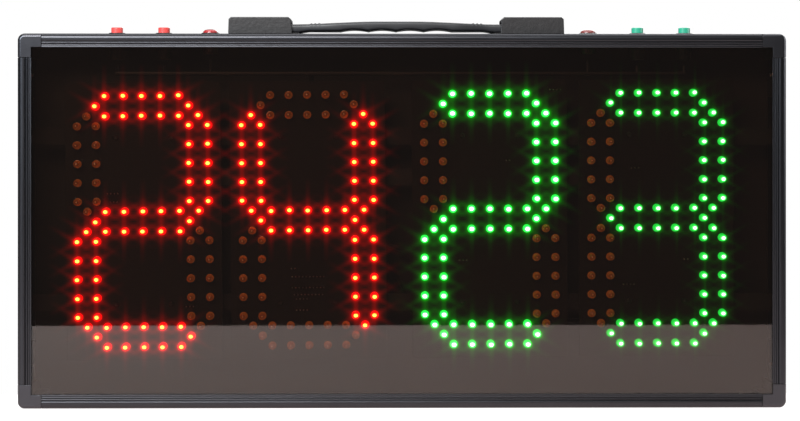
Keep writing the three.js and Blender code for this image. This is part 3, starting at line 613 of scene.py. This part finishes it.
def rail(length, inward, along, start):
    """The section swept along a rail, with u inward, v to the rear and w along."""
    columns = [Vector(inward), Vector((0, 1, 0)), Vector(along)]
    basis = Matrix([[c[row] for c in columns] for row in range(3)]).to_4x4()
    return placed(prism(rail_section(), 0, length), Matrix.Translation(start) @ basis)


def screw_site(name):
    """A corner screw's name, its place on the face of the case and the way that it points."""
    place = middle(name)
    if place.x < LEFT + FLANGE * MM:
        return name, Vector((LEFT, place.y, place.z)), Vector((-1, 0, 0))
    if place.x > RIGHT - FLANGE * MM:
        return name, Vector((RIGHT, place.y, place.z)), Vector((1, 0, 0))
    if place.z > TOP / 2:
        return name, Vector((place.x, place.y, TOP)), UP
    return name, Vector((place.x, place.y, 0)), -UP


SCREWS = [screw_site(name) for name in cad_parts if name.startswith("corner_screw")]


def top_holes():
    """A cutter for each hole in the top rail: four tall buttons, two domes and two screws."""
    tall = [f"{colour}_button_{i}_cap" for colour in ("red", "green") for i in (1, 2)]
    radii = {name: 6.0 for name in tall}
    radii |= {"power_button_cap": 6.6, "reset_button_cap": 6.6}
    radii |= {"handle_screw_left": 2.6, "handle_screw_right": 2.6}
    tools = []
    for name, radius in radii.items():
        tool = turned([(0, -3), (radius, -3), (radius, 1), (0, 1)], 32)
        tools.append(at(tool, middle(name).x, 0, TOP))
    return tools


def build_rails():
    sink = turned([(0, -4), (1.7, -4), (1.7, -1.75), (3.3, -0.12), (3.3, 1), (0, 1)], 32)
    left, right = Vector((-1, 0, 0)), Vector((1, 0, 0))
    for name, inward, along in (
        ("frame_bottom", UP, left), ("frame_top", -UP, right),
        ("frame_left", right, UP), ("frame_right", left, -UP),
    ):
        low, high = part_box(name)
        start = Vector([low[i] if (inward + along)[i] > 0 else high[i] for i in range(3)])
        start.y = FRONT
        body = rail(abs((high - low).dot(along)), inward, along, start)
        tools = []
        for _, place, outward in SCREWS:
            if all(low[i] - MM < place[i] < high[i] + MM for i in range(3)):
                tools.append(placed(sink, pointing(place, outward)))
        if name == "frame_top":
            tools += top_holes()
        material = RAIL_ALONG_Z if along.z else RAIL_ALONG_X
        shape = carved(body, *tools)
        make(f"{name}_rail", shape, material, replaces=[name], sharp=28)


def corner_shape():
    """The corner piece about the case's low left corner: x and z run inward, y to the rear."""
    arm, leg, round_off = CORNER_ARM, CORNER_LEG, CORNER_ROUND
    outline = arc(round_off, round_off, round_off, 180, 270, 12)
    outline += [(leg, 0), (leg, arm), (arm, arm), (arm, leg), (0, leg)]
    shape = prism(in_metres(outline), CORNER_INSET * MM, DEPTH - CORNER_INSET * MM)
    near_arm, near_leg = (arm - 0.1) * MM, (leg - 0.1) * MM

    def outer(edge):
        """Whether an edge belongs to the front's or the back's outer rim."""
        flat = abs(edge.verts[0].co.z - edge.verts[1].co.z) < TINY
        inner = all(v.co.x > near_arm or v.co.y > near_arm for v in edge.verts)
        ends = any(all(v.co[axis] > near_leg for v in edge.verts) for axis in (0, 1))
        along = any(all(v.co[axis] < TINY for v in edge.verts) for axis in (0, 1))
        return flat and not ends and (along or not inner)

    return softened(shape, CORNER_BEVEL, 8, 40, outer)


def build_corners():
    depth = DEPTH / MM
    slots = []
    for near, far in ((WALL, WALL + SLOT), (depth - WALL - SLOT, depth - WALL)):
        slots.append(block((2 * MM, 2 * MM, near * MM), (30 * MM, 30 * MM, far * MM)))
    shape = carved(corner_shape(), *slots)
    tongue_low = block((16.5 * MM, 1.8 * MM, 6.8 * MM), (45 * MM, 6.2 * MM, (depth - 6.8) * MM))
    tongue_side = block((1.8 * MM, 16.5 * MM, 6.8 * MM), (6.2 * MM, 45 * MM, (depth - 6.8) * MM))
    shape = carved(shape, tongue_low, tongue_side, operation="UNION")
    shape = softened(shape, 0.25, 2, 60)
    for rise in ("bottom", "top"):
        for side in ("left", "right"):
            x = Vector((1, 0, 0)) if side == "left" else Vector((-1, 0, 0))
            y = UP if rise == "bottom" else -UP
            basis = Matrix([[x[i], y[i], (0, 1, 0)[i]] for i in range(3)]).to_4x4()
            start = (LEFT if side == "left" else RIGHT, FRONT, 0 if rise == "bottom" else TOP)
            piece = placed(shape, Matrix.Translation(start) @ basis)
            name = f"corner_{rise}_{side}"
            make(f"{name}_casting", piece, CORNER_METAL, replaces=[name])


def cross_screw():
    """A countersunk screw with a cross recess, its head just below Z = 0."""
    body = turned([(0, -8), (1.45, -8), (1.45, -1.75), (3.05, -0.1), (0, -0.1)], 32)
    bar = block((-1.7 * MM, -0.35 * MM, -1.3 * MM), (1.7 * MM, 0.35 * MM, 1 * MM))
    bars = [placed(bar, Matrix.Rotation(turn + 0.4, 4, "Z")) for turn in (0, math.pi / 2)]
    return carved(body, *bars)


def build_screws():
    shape = cross_screw()
    for name, place, outward in SCREWS:
        turn = Matrix.Rotation(random.uniform(0, math.pi), 4, "Z")
        piece = placed(shape, pointing(place, outward) @ turn)
        make(f"{name}_head", piece, ZINC, replaces=[name])


def sheet(name, node_name, material, extras=(), tools=()):
    """A flat sheet with clipped corners, which fills its CAD node's outline."""
    low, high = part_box(node_name)
    clip = SHEET * MM
    outline = [
        (low.x + clip, low.z), (high.x - clip, low.z),
        (high.x, low.z + clip), (high.x, high.z - clip),
        (high.x - clip, high.z), (low.x + clip, high.z),
        (low.x, high.z - clip), (low.x, low.z + clip),
    ]
    front, back = low.y, low.y + SHEET * MM
    if node_name == "rear_cover":
        front, back = high.y - SHEET * MM, high.y
    plate = softened(upright(prism(outline, -back, -front), 0), 0.3, 2)
    if tools:
        plate = carved(plate, *tools)
    return make(name, together(plate, *extras), material, replaces=[node_name])


def build_sheets():
    sheet("front_window_pane", "front_window", WINDOW)
    socket = middle("charge_socket")
    hole = turned([(0, -8), (5.6, -8), (5.6, 8), (0, 8)], 40)
    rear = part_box("rear_cover")[1].y
    hole = placed(hole, pointing((socket.x, rear, socket.z), (0, 1, 0)))
    low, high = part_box("controller_board")
    post = turned([(0, 0), (2.5, 0), (2.5, 5.9), (1.4, 5.9), (1.4, 7.8), (2.2, 7.8), (0, 9)], 20)
    posts = []
    for x in (low.x + POST_INSET * MM, high.x - POST_INSET * MM):
        for z in (low.z + POST_INSET * MM, high.z - POST_INSET * MM):
            posts.append(placed(post, pointing((x, rear - 3.05 * MM, z), FRONTWARDS)))
    sheet("rear_cover_sheet", "rear_cover", REAR_SHEET, posts, [hole])


# ==== Digits =================================================================================
def segment_places():
    """The LEDs of each bar, in mm about the digit's middle."""
    steps = [-2, -1, 0, 1, 2]
    bars = {}
    for name, level in (("a", SEGMENT_RISE), ("g", 0), ("d", -SEGMENT_RISE)):
        rows = [(s * BAR_PITCH, level + side * BAR_HALF) for s in steps for side in (-1, 1)]
        bars[name] = rows + [(-POST_INNER, level), (POST_INNER, level)]
    posts = (("f", -1, 1), ("b", 1, 1), ("e", -1, -1), ("c", 1, -1))
    for name, side, rise in posts:
        level = rise * SEGMENT_RISE / 2
        rows = []
        for column in (POST_INNER, POST_INNER + POST_PITCH):
            rows += [(side * column, level + s * POST_PITCH) for s in steps]
        tip = side * (POST_INNER + POST_PITCH / 2)
        bars[name] = rows + [(tip, level - POST_TIP), (tip, level + POST_TIP)]
    return bars


def led_shape():
    """One 5 mm LED about Z, from its seat to its tip."""
    straight = LED_LENGTH - LED_BODY
    profile = [(0, 0), (LED_FLANGE, 0), (LED_FLANGE, 0.9), (LED_BODY, 1.0), (LED_BODY, straight)]
    for i in range(1, 11):
        angle = math.radians(90 * i / 10)
        profile.append((LED_BODY * math.cos(angle), straight + LED_BODY * math.sin(angle)))
    profile[-1] = (0, LED_LENGTH)
    return turned(profile, 24)


def led_glow(points, x, z):
    """How near each point of an LED is to the image of its die, which is never quite central."""
    die_x = x + random.gauss(0, DIE_SCATTER) * MM
    die_z = z + random.gauss(0, DIE_SCATTER) * MM
    lens_start = points[0][1] - LENS_REACH * MM
    glow = []
    for point in points:
        reach = math.hypot((point[0] - die_x) / 1.2, point[2] - die_z) / (LED_BODY * MM)
        glow.append(max(0.0, 1 - reach) if point[1] < lens_start else 0.0)
    return glow


LED = led_shape()


def build_leds(name, places, front, material):
    """LEDs soldered at these places, each leaning a little in its own way."""
    shapes, glow = [], []
    for x, z in places:
        tips = [math.radians(random.uniform(-LED_LEAN, LED_LEAN)) for _ in range(2)]
        lean = Matrix.Rotation(tips[0], 4, "X") @ Matrix.Rotation(tips[1], 4, "Z")
        seat = Matrix.Translation((x, front, z)) @ lean
        shapes.append(placed(LED, seat @ pointing((0, 0, 0), FRONTWARDS)))
        glow += led_glow(shapes[-1][0], x, z)
    piece = make(name, together(*shapes), material, sharp=50)
    attribute = piece.data.attributes.new("glow", "FLOAT", "POINT")
    attribute.data.foreach_set("value", glow)
    return piece


def board_plate(width, height, front, back):
    """A board about the digit's middle, with its four holes for the snap posts."""
    x, z = width / 2, height / 2
    outline = rounded([(-x, -z), (x, -z), (x, z), (-x, z)], 2 * MM, 5)
    hole = turned([(0, -5), (POST_HOLE, -5), (POST_HOLE, 5), (0, 5)], 20)
    holes = []
    for x in POST_HOLES[0]:
        for z in POST_HOLES[1]:
            holes.append(placed(hole, pointing((x * MM, front, z * MM), FRONTWARDS)))
    plate = carved(upright(prism(outline, -back, -front), 0), *holes)
    return softened(plate, 0.1, 1, 60)


def board_chips(back):
    """The chips and the header on a board's rear face."""
    chips = []
    for x0, x1, z0, z1, reach in CHIPS:
        chip = block((x0 * MM, back + 0.1 * MM, z0 * MM), (x1 * MM, back + reach * MM, z1 * MM))
        chips.append(softened(chip, 0.3, 2))
    return together(*chips)


def solder_joints(index, seat):
    """The tinned pins that show through the window, in rows that differ from board to board."""
    joint = turned([(0, 0), (0.55, 0), (0.4125, 0.35), (0.165, 0.7), (0, 0.75)], 10)
    joints = []
    for x, z, count in SOLDER_ROWS[index]:
        for i in range(count):
            where = ((x + i * PIN_PITCH) * MM, seat, z * MM)
            joints.append(placed(joint, pointing(where, FRONTWARDS)))
    return together(*joints)


def build_digit(index):
    """One digit: its board, chips and solder joints, then its lit and its unlit LEDs."""
    name = f"digit_board_{index + 1}"
    low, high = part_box(name)
    front = low.y + LED_LENGTH * MM
    back = front + BOARD_THICKNESS * MM
    seat = front - SEATED * MM
    lean = Matrix.Rotation(math.radians(-BOARD_LEAN[index]), 4, "Y")
    lean = Matrix.Translation(((low.x + high.x) / 2, 0, (low.z + high.z) / 2)) @ lean
    plate = placed(board_plate(high.x - low.x, high.z - low.z, front, back), lean)
    make(f"{name}_laminate", plate, MASK, replaces=[name])
    make(f"{name}_chips", placed(board_chips(back), lean), CHIP)
    joints = placed(solder_joints(index, seat), lean)
    make(f"{name}_joints", joints, TIN)

    lit, dark = [], []
    for bar, places in segment_places().items():
        group = lit if bar in SEGMENTS_OF[SHOWN[index]] else dark
        group += [(lean @ Vector((x * MM, 0, z * MM))).xz for x, z in places]
    material = (LIT_RED, LIT_RED, LIT_GREEN, SIDE_GREEN)[index]
    build_leds(f"{name}_lit_leds", lit, seat, material)
    build_leds(f"{name}_unlit_leds", dark, seat, UNLIT)


# ==== Buttons ================================================================================
def build_button(name, body, bezel, key, material, slot, sharp):
    """A bezel in the place of the CAD's housing, and a key that rides on the cap's body."""
    x = middle(f"{name}_cap").x
    make(
        f"{name}_bezel", at(bezel, x, 0, TOP), BEZEL,
        replaces=[f"{name}_housing"],
    )
    make(
        f"{name}_key", at(key, x, 0, TOP), material, body,
        replaces=[f"{name}_cap"], sharp=sharp,
    )


def tall_button():
    """The bezel and the key of a tall button, about its axis on the case's top."""
    bezel = turned([
        (0, -18), (4.9, -18), (5, -17.8), (5, -12), (5.8, -12), (5.8, 0.05),
        (6.6, 0.05), (6.7, 0.2), (6.6, 0.55), (5.75, 1.2), (5.5, 1.3),
        (4.85, 1.3), (4.65, 1.15), (4.65, -9), (0, -9),
    ], 48)
    crown = arc(3.65, 4.65, 0.55, 0, 90, 6)
    key = turned([(0, -6.5), (4.2, -6.5), *crown, (3.0, 5.2), (2.7, 5.12), (0, 5.05)], 48)
    return bezel, key


def dome_button():
    """The bezel and the key of a low domed button."""
    bezel = turned([
        (0, -14), (5, -14), (6.4, -8), (6.4, -3.4), (6.9, -1.9), (6.4, -1.9), (6.4, 0.05),
        (7.3, 0.05), (7.35, 0.2), (7.3, 0.45), (6.5, 1.15), (6.25, 1.3),
        (6.0, 1.3), (5.85, 1.15), (5.85, -6), (0, -6),
    ], 48)
    rim, crown, edge = 1.0, 3.9, 5.55
    profile = [(0, -4.5), (edge, -4.5)]
    for i in range(15):
        angle = math.radians(90 * i / 14)
        radius = edge * math.cos(angle) ** 0.72
        profile.append((radius, rim + (crown - rim) * math.sin(angle) ** 0.8))
    profile[-1] = (0, crown)
    return bezel, turned(profile, 48)


def build_buttons():
    tall, dome = tall_button(), dome_button()
    for i in (1, 2):
        build_button(f"red_button_{i}", f"red_cap_{i}", *tall, RED, "red_cap", 50)
        build_button(f"green_button_{i}", f"green_cap_{i}", *tall, GREEN, "green_cap", 50)
    build_button("power_button", "power_cap", *dome, DOME_RED, "red_cap", 60)
    build_button("reset_button", "reset_cap", *dome, RUST, "rust_cap", 60)


# ==== Carrying strap, in mm from its middle ==================================================
MOUTH = 75
STRAP_SEAM = 60.4
RIBS = (55.5, 58.3, 61.1)
STRAP_TIP = 114
CROWN = 0.35
CAP_HALF = 13.0


def eased(share):
    """A smooth step from 0 to 1."""
    share = min(1.0, max(0.0, share))
    return share * share * (3 - 2 * share)


def strap_top(x):
    """Height of the strap's upper face above the rail, in mm, at a distance from its middle."""
    x = abs(x)
    level = 9.4 - 2.0 * eased((x - 12) / (MOUTH - 12))
    level -= 1.0 * eased((x - MOUTH) / 6)
    for rib in RIBS:
        level += 0.6 * math.exp(-(((x - rib) / 0.6) ** 2))
    return level


def strap_base(x):
    """Height of its underside, scalloped for four fingers."""
    x = abs(x)
    scallop = 2.2 + 1.2 * abs(math.sin(math.pi * x / 20)) ** 0.8
    plain = 2.2 - 1.0 * eased((x - 62) / 9)
    return scallop if x <= 40 else plain


def strap_half_width(x):
    """Half its width, which narrows towards the end caps and again inside them."""
    return 12.5 - 1.8 * eased((abs(x) - 42) / 26) - 0.7 * eased((abs(x) - 76) / 8)


def strap_ring(x, side):
    """A cross-section of the strap: a flat band with rounded edges and a crowned top."""
    top, base, half = strap_top(x), strap_base(x), strap_half_width(x)
    edge = min(1.8, 0.42 * (top - base))
    flat = top - CROWN
    corners = rounded([(-half, base), (half, base), (half, flat), (-half, flat)], edge, 5)
    ring = []
    for y, z in corners:
        crown = CROWN * (1 - (y / half) ** 2) if z > (top + base) / 2 else 0
        ring.append((HANDLE_X + side * x * MM, y * MM, TOP + (z + crown) * MM))
    return ring


def lofted(rings):
    """A closed skin over rings that all have the same number of points."""
    count = len(rings[0])
    points = [p for ring in rings for p in ring]
    faces = [list(range(count)), list(reversed(range(len(points) - count, len(points))))]
    for row in range(len(rings) - 1):
        for i in range(count):
            j = (i + 1) % count
            low = row * count
            faces.append([low + i, low + j, low + count + j, low + count + i])
    return points, faces


def strap_stations(start, end, pitch=0.35):
    count = max(2, round((end - start) / pitch))
    return [start + (end - start) * i / count for i in range(count + 1)]


def build_strap(side, word):
    """One half of the strap: its inner skin over grip and link, its outer one over link and end."""
    inner = lofted([strap_ring(x, side) for x in strap_stations(0, STRAP_SEAM)])
    piece = make(
        f"strap_inner_{word}", inner, STRAP, None, [f"handle_link_{word}"], sharp=60,
    )
    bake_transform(piece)
    if side > 0:
        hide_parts("handle_grip")

    outer = lofted([strap_ring(x, side) for x in strap_stations(STRAP_SEAM, STRAP_TIP, 0.5)])
    slot = softened(block((92.8 * MM, -5 * MM, -2 * MM), (109.2 * MM, 5 * MM, 12 * MM)), 4, 6)
    slot = placed(slot, Matrix.Translation((HANDLE_X, 0, TOP)) @ Matrix.Scale(side, 4, (1, 0, 0)))
    outer = carved(outer, slot)
    piece = make(
        f"strap_outer_{word}", outer, STRAP, None, [f"handle_end_{word}"], sharp=60,
    )
    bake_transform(piece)


def cap_shape():
    """The end cap over the strap's end, in mm about the strap's middle, for its right side."""
    outline = rounded([
        (75, 0.05), (120.9, 0.05), (120.6, 10.8), (119.0, 12.3), (77.6, 12.3), (75.6, 10.6),
    ], 0.7, 3)
    shell = upright(prism(in_metres(outline), -CAP_HALF * MM, CAP_HALF * MM), 0)
    shell = softened(shell, 1.1, 4, 40)
    cavity = block((77 * MM, -11.2 * MM, -5 * MM), (119.1 * MM, 11.2 * MM, 10.5 * MM))
    mouth = block((70 * MM, -11.2 * MM, -5 * MM), (80 * MM, 11.2 * MM, 9 * MM))
    level = block((60 * MM, -30 * MM, -5 * MM), (140 * MM, 30 * MM, 0.05 * MM))
    return carved(shell, cavity, mouth, level)


def build_handle():
    cap = cap_shape()
    for side, word in ((1, "right"), (-1, "left")):
        build_strap(side, word)
        flip = Matrix.Translation((HANDLE_X, 0, TOP)) @ Matrix.Scale(side, 4, (1, 0, 0))
        name = f"handle_cap_{word}"
        shell = placed(cap, flip)
        make(f"{name}_shell", shell, BLACK_PLASTIC, replaces=[name])


# ==== What shows inside and behind ===========================================================
def build_charge_socket():
    low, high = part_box("charge_socket")
    place = ((low.x + high.x) / 2, high.y, (low.z + high.z) / 2)
    profile = [
        (0, -16.3), (5.3, -16.3), (5.3, -1.5), (7.5, -1.5), (7.5, -0.4), (7.35, -0.1), (7.0, 0),
        (3.3, 0), (3.0, -0.25), (3.0, -11), (1, -11), (1, -1.6), (0.8, -1.4), (0, -1.4),
    ]
    shape = placed(turned(profile, 48), pointing(place, (0, 1, 0)))
    make("charge_socket_body", shape, BEZEL, replaces=["charge_socket"])


def finish_plain_nodes():
    """CAD nodes whose shape is right as it is, with the finish that each one has."""
    finishes = {
        "board_rail_lower": DARK_RAIL, "board_rail_upper": DARK_RAIL, "controller_board": MASK,
        "battery_pack": CELL, "battery_clamp": ZINC, "charge_socket_nut": ZINC,
        "display_ribbon": WIRE, "battery_lead": WIRE, "charge_lead": WIRE, "button_loom": WIRE,
    }
    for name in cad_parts:
        if name.endswith("_nut") or name.startswith("handle_screw"):
            finishes[name] = ZINC
        if name.startswith("handle_base"):
            finishes[name] = BLACK_PLASTIC
    for name, material in finishes.items():
        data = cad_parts[name].data
        data.materials.clear()
        data.materials.append(material)


# ==== Stage, light and camera ================================================================
CAMERA_PLACE = Vector((-18 * MM, -1.5, 197 * MM))
CAMERA_YAW = 0.012
CAMERA_LENS = 93.06
CAMERA_SHIFT = (-0.003, -0.0971)


def build_stage():
    """A pale floor that glows, so that it reads as white paper and mirrors warm in the window."""
    floor = loose_object(block((-1.2, -0.655, -0.002), (0.62, 0.06, 0)))
    floor.name = "studio_floor"
    material, tree, out = blank("studio_floor")
    haze = place_noise(tree, 3, 2)
    straight = node(tree, "ShaderNodeLightPath").outputs["Is Camera Ray"]
    shaded(tree, out, {
        "Base Color": mixed(tree, haze, rgb(0.40, 0.39, 0.385), rgb(0.43, 0.42, 0.415)),
        "Roughness": 0.7,
        "Emission Color": mixed(tree, straight, rgb(1.0, 0.73, 0.67), rgb(1.0, 1.0, 1.0)),
        "Emission Strength": 0.72,
    })
    floor.data.materials.append(material)


def build_world():
    """White behind the object, and a dim sky for all other light."""
    world = bpy.data.worlds.new("studio")
    bpy.context.scene.world = world
    world.use_nodes = True
    tree = world.node_tree
    tree.nodes.clear()
    out = tree.nodes.new("ShaderNodeOutputWorld")
    seen = node(tree, "ShaderNodeBackground", {"Color": rgb(1, 1, 1), "Strength": 1.0})
    dim = node(tree, "ShaderNodeBackground", {"Color": rgb(0.93, 0.97, 1.0), "Strength": 0.07})
    straight = node(tree, "ShaderNodeLightPath").outputs["Is Camera Ray"]
    inputs = {0: straight, 1: dim.outputs[0], 2: seen.outputs[0]}
    mix = node(tree, "ShaderNodeMixShader", inputs)
    tree.links.new(mix.outputs[0], out.inputs[0])


def soft_light(name, place, target, width, height, power, colour=(1, 1, 1)):
    """A rectangular softbox of a size in metres and a power in watts, aimed at a target."""
    light = bpy.data.lights.new(name, "AREA")
    light.shape = "RECTANGLE"
    light.size = width
    light.size_y = height
    light.energy = power
    light.color = colour
    obj = bpy.data.objects.new(name, light)
    obj.location = place
    aim = Vector(target) - Vector(place)
    obj.rotation_euler = aim.to_track_quat("-Z", "Y").to_euler()
    bpy.context.scene.collection.objects.link(obj)


def build_lights():
    target = (0, 0, 0.2)
    soft_light("front_top_softbox", (-0.45, -1.2, 1.0), (-0.1, 0, 0.2), 0.8, 0.45, 26)
    soft_light("overhead_softbox", (0.0, 0.1, 1.3), target, 1.6, 0.8, 12)
    soft_light("left_softbox", (-0.98, -1.2, 0.75), (-0.2, 0, 0.2), 0.4, 0.5, 15, (0.80, 0.91, 1.0))
    soft_light("right_softbox", (1.3, -0.1, 0.5), (0.2, 0, 0.15), 0.5, 0.6, 6)
    soft_light("rear_softbox", (0.5, 1.4, 0.9), target, 1.2, 0.8, 14)


def build_camera():
    data = bpy.data.cameras.new("camera")
    camera = bpy.data.objects.new("camera", data)
    bpy.context.scene.collection.objects.link(camera)
    camera.location = CAMERA_PLACE
    camera.rotation_euler = (math.pi / 2, 0, -CAMERA_YAW)
    data.sensor_width = 36.0
    data.lens = CAMERA_LENS
    data.shift_x, data.shift_y = CAMERA_SHIFT
    bpy.context.scene.camera = camera


def blurred(tree, image, reach):
    settings = {"filter_type": "GAUSS", "size_x": reach, "size_y": reach}
    return node(tree, "CompositorNodeBlur", {"Image": image}, **settings).outputs["Image"]


def reckoned(tree, operation, first, second):
    inputs = {0: first, 1: second}
    return node(tree, "CompositorNodeMath", inputs, operation=operation).outputs[0]


def excess(tree, channel, other, share):
    """How far one channel stands above a share of another and a threshold just below white."""
    rest = reckoned(tree, "ADD", channel, reckoned(tree, "MULTIPLY", other, -share))
    return reckoned(tree, "MAXIMUM", reckoned(tree, "SUBTRACT", rest, 0.9), 0.0)


def build_lens_glow():
    """The stars and the halo that a lens draws round the lit LEDs, in each LED's own colour."""
    scene = bpy.context.scene
    scene.use_nodes = True
    tree = scene.node_tree
    tree.nodes.clear()
    image = node(tree, "CompositorNodeRLayers").outputs["Image"]
    red, green, blue, _ = node(tree, "CompositorNodeSeparateColor", {0: image}).outputs
    pure = node(tree, "CompositorNodeCombineColor", {
        0: excess(tree, red, green, 0.95),
        1: excess(tree, green, red, 0.6),
        2: excess(tree, blue, red, 1.0),
    }).outputs[0]
    stars = node(tree, "CompositorNodeGlare", {
        "Image": pure, "Threshold": 0.6, "Strength": 1.0, "Streaks": 6,
        "Streaks Angle": math.radians(30), "Iterations": 2, "Fade": 0.75, "Color Modulation": 0.0,
    }, glare_type="STREAKS").outputs["Glare"]
    near, far = blurred(tree, pure, 5), blurred(tree, pure, 12)
    for glow, strength in ((stars, 0.36), (near, 0.55), (far, 0.16)):
        inputs = {0: strength, 1: image, 2: glow}
        image = node(tree, "CompositorNodeMixRGB", inputs, blend_type="ADD").outputs[0]
    node(tree, "CompositorNodeComposite", {"Image": image})


# ==== Assembly ===============================================================================
build_camera()
build_rails()
build_corners()
build_screws()
build_sheets()
for digit in range(4):
    build_digit(digit)
build_buttons()
build_handle()
build_charge_socket()
finish_plain_nodes()
build_stage()
build_world()
build_lights()
build_lens_glow()
bpy.context.scene.view_settings.view_transform = "Standard"
